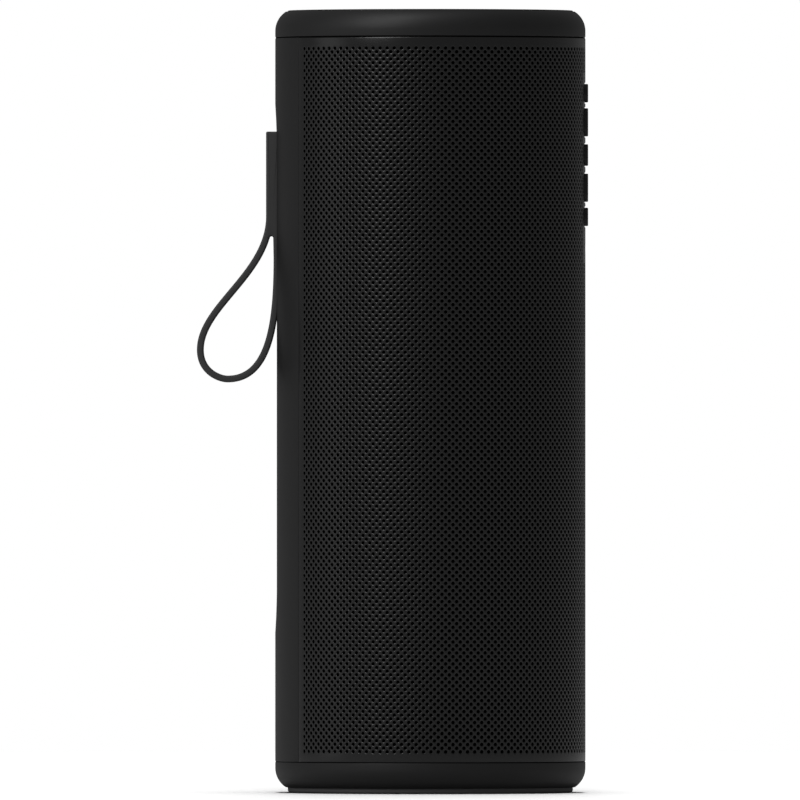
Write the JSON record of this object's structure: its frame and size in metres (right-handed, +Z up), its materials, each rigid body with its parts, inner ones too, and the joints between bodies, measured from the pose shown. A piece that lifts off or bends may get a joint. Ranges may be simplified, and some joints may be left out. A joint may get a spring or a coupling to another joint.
{
  "type": "shower speaker",
  "caption": "Upright cylindrical water-resistant speaker with a punched grille, round end caps, a wrist strap on its back spine and a column of press keys.",
  "frame": {"origin": "centre of the foot pad's underside, on the body's axis", "axes": "+Z up along the body's axis; +X towards the keys; -X towards the spine and strap; +Y to the left of someone facing the keys' way"},
  "size_m": [0.092, 0.073, 0.184],
  "materials": {
    "cap_plastic": "smooth matte black",
    "grille_paint": "satin black paint",
    "spine_plastic": "smooth matte black",
    "strap_silicone": "matte silicone",
    "soft_rubber": "matte black rubber",
    "seal_rubber": "soft black rubber",
    "cloth": "fine black woven mesh",
    "key_plastic": "matte black",
    "cabinet_plastic": "moulded dark grey",
    "circuit_board": "green solder mask",
    "steel": "plain steel",
    "driver_metal": "dark coated steel",
    "cone_paper": "pressed fibre",
    "cell_sleeve": "blue shrink sleeve",
    "light_pipe": "clear light pipe"
  },
  "bodies": {
    "speaker_body": {"top_cap": "cap_plastic", "top_plate": "cap_plastic", "bottom_cap": "cap_plastic", "foot_pad": "soft_rubber", "top_gasket": "seal_rubber", "bottom_gasket": "seal_rubber", "top_screw_1": "steel", "top_screw_2": "steel", "top_screw_3": "steel", "bottom_screw_1": "steel", "bottom_screw_2": "steel", "bottom_screw_3": "steel", "grille": "grille_paint", "acoustic_cloth": "cloth", "spine": "spine_plastic", "strap_root": "strap_silicone", "strap_pin": "steel", "flap_anchor": "soft_rubber", "usb_receptacle": "steel", "charge_board": "circuit_board", "cabinet": "cabinet_plastic", "lower_driver_frame": "driver_metal", "lower_driver_magnet": "driver_metal", "lower_driver_surround": "seal_rubber", "upper_driver_frame": "driver_metal", "upper_driver_magnet": "driver_metal", "upper_driver_surround": "seal_rubber", "left_radiator_frame": "driver_metal", "left_radiator_surround": "seal_rubber", "right_radiator_frame": "driver_metal", "right_radiator_surround": "seal_rubber", "battery_cell_left": "cell_sleeve", "battery_cell_right": "cell_sleeve", "battery_cradle": "cabinet_plastic", "main_board": "circuit_board", "board_screw_1": "steel", "board_screw_2": "steel", "tact_switch_1": "steel", "tact_switch_2": "steel", "tact_switch_3": "steel", "tact_switch_4": "steel", "tact_switch_5": "steel", "key_carrier": "cabinet_plastic", "key_membrane": "seal_rubber", "key_board": "circuit_board", "status_light": "light_pipe"},
    "strap": {"strap_loop": "strap_silicone"},
    "flap": {"port_flap": "soft_rubber"},
    "power_key_body": {"power_key": "key_plastic"},
    "volume_up_key_body": {"volume_up_key": "key_plastic"},
    "play_key_body": {"play_key": "key_plastic"},
    "volume_down_key_body": {"volume_down_key": "key_plastic"},
    "pairing_key_body": {"pairing_key": "key_plastic"},
    "lower_cone": {"lower_driver_cone": "cone_paper"},
    "upper_cone": {"upper_driver_cone": "cone_paper"},
    "left_radiator": {"left_radiator_plate": "cone_paper"},
    "right_radiator": {"right_radiator_plate": "cone_paper"}
  },
  "joints": [
    {"name": "strap_bend", "type": "hinge", "parent": "speaker_body", "child": "strap", "pos_m": [-0.03705, 0, 0.1356], "axis": [0, 1, 0], "range_deg": [0, 100], "stiffness_Nm_per_rad": 0.005},
    {"name": "flap_hinge", "type": "hinge", "parent": "speaker_body", "child": "flap", "pos_m": [-0.03567, 0, 0.0543], "axis": [0, -1, 0], "range_deg": [0, 110], "stiffness_Nm_per_rad": 0.002},
    {"name": "power_press", "type": "slide", "parent": "speaker_body", "child": "power_key_body", "axis": [-1, 0, 0], "range_m": [0, 0.0004], "stiffness_N_per_m": 1500},
    {"name": "volume_up_press", "type": "slide", "parent": "speaker_body", "child": "volume_up_key_body", "axis": [-1, 0, 0], "range_m": [0, 0.0004], "stiffness_N_per_m": 1500},
    {"name": "play_press", "type": "slide", "parent": "speaker_body", "child": "play_key_body", "axis": [-1, 0, 0], "range_m": [0, 0.0004], "stiffness_N_per_m": 1500},
    {"name": "volume_down_press", "type": "slide", "parent": "speaker_body", "child": "volume_down_key_body", "axis": [-1, 0, 0], "range_m": [0, 0.0004], "stiffness_N_per_m": 1500},
    {"name": "pairing_press", "type": "slide", "parent": "speaker_body", "child": "pairing_key_body", "axis": [-1, 0, 0], "range_m": [0, 0.0004], "stiffness_N_per_m": 1500},
    {"name": "lower_cone_travel", "type": "slide", "parent": "speaker_body", "child": "lower_cone", "axis": [1, 0, 0], "range_m": [-0.001, 0.001], "stiffness_N_per_m": 1000},
    {"name": "upper_cone_travel", "type": "slide", "parent": "speaker_body", "child": "upper_cone", "axis": [1, 0, 0], "range_m": [-0.001, 0.001], "stiffness_N_per_m": 1000},
    {"name": "left_radiator_travel", "type": "slide", "parent": "speaker_body", "child": "left_radiator", "axis": [0, 1, 0], "range_m": [-0.0012, 0.0012], "stiffness_N_per_m": 800},
    {"name": "right_radiator_travel", "type": "slide", "parent": "speaker_body", "child": "right_radiator", "axis": [0, -1, 0], "range_m": [-0.0012, 0.0012], "stiffness_N_per_m": 800}
  ]
}
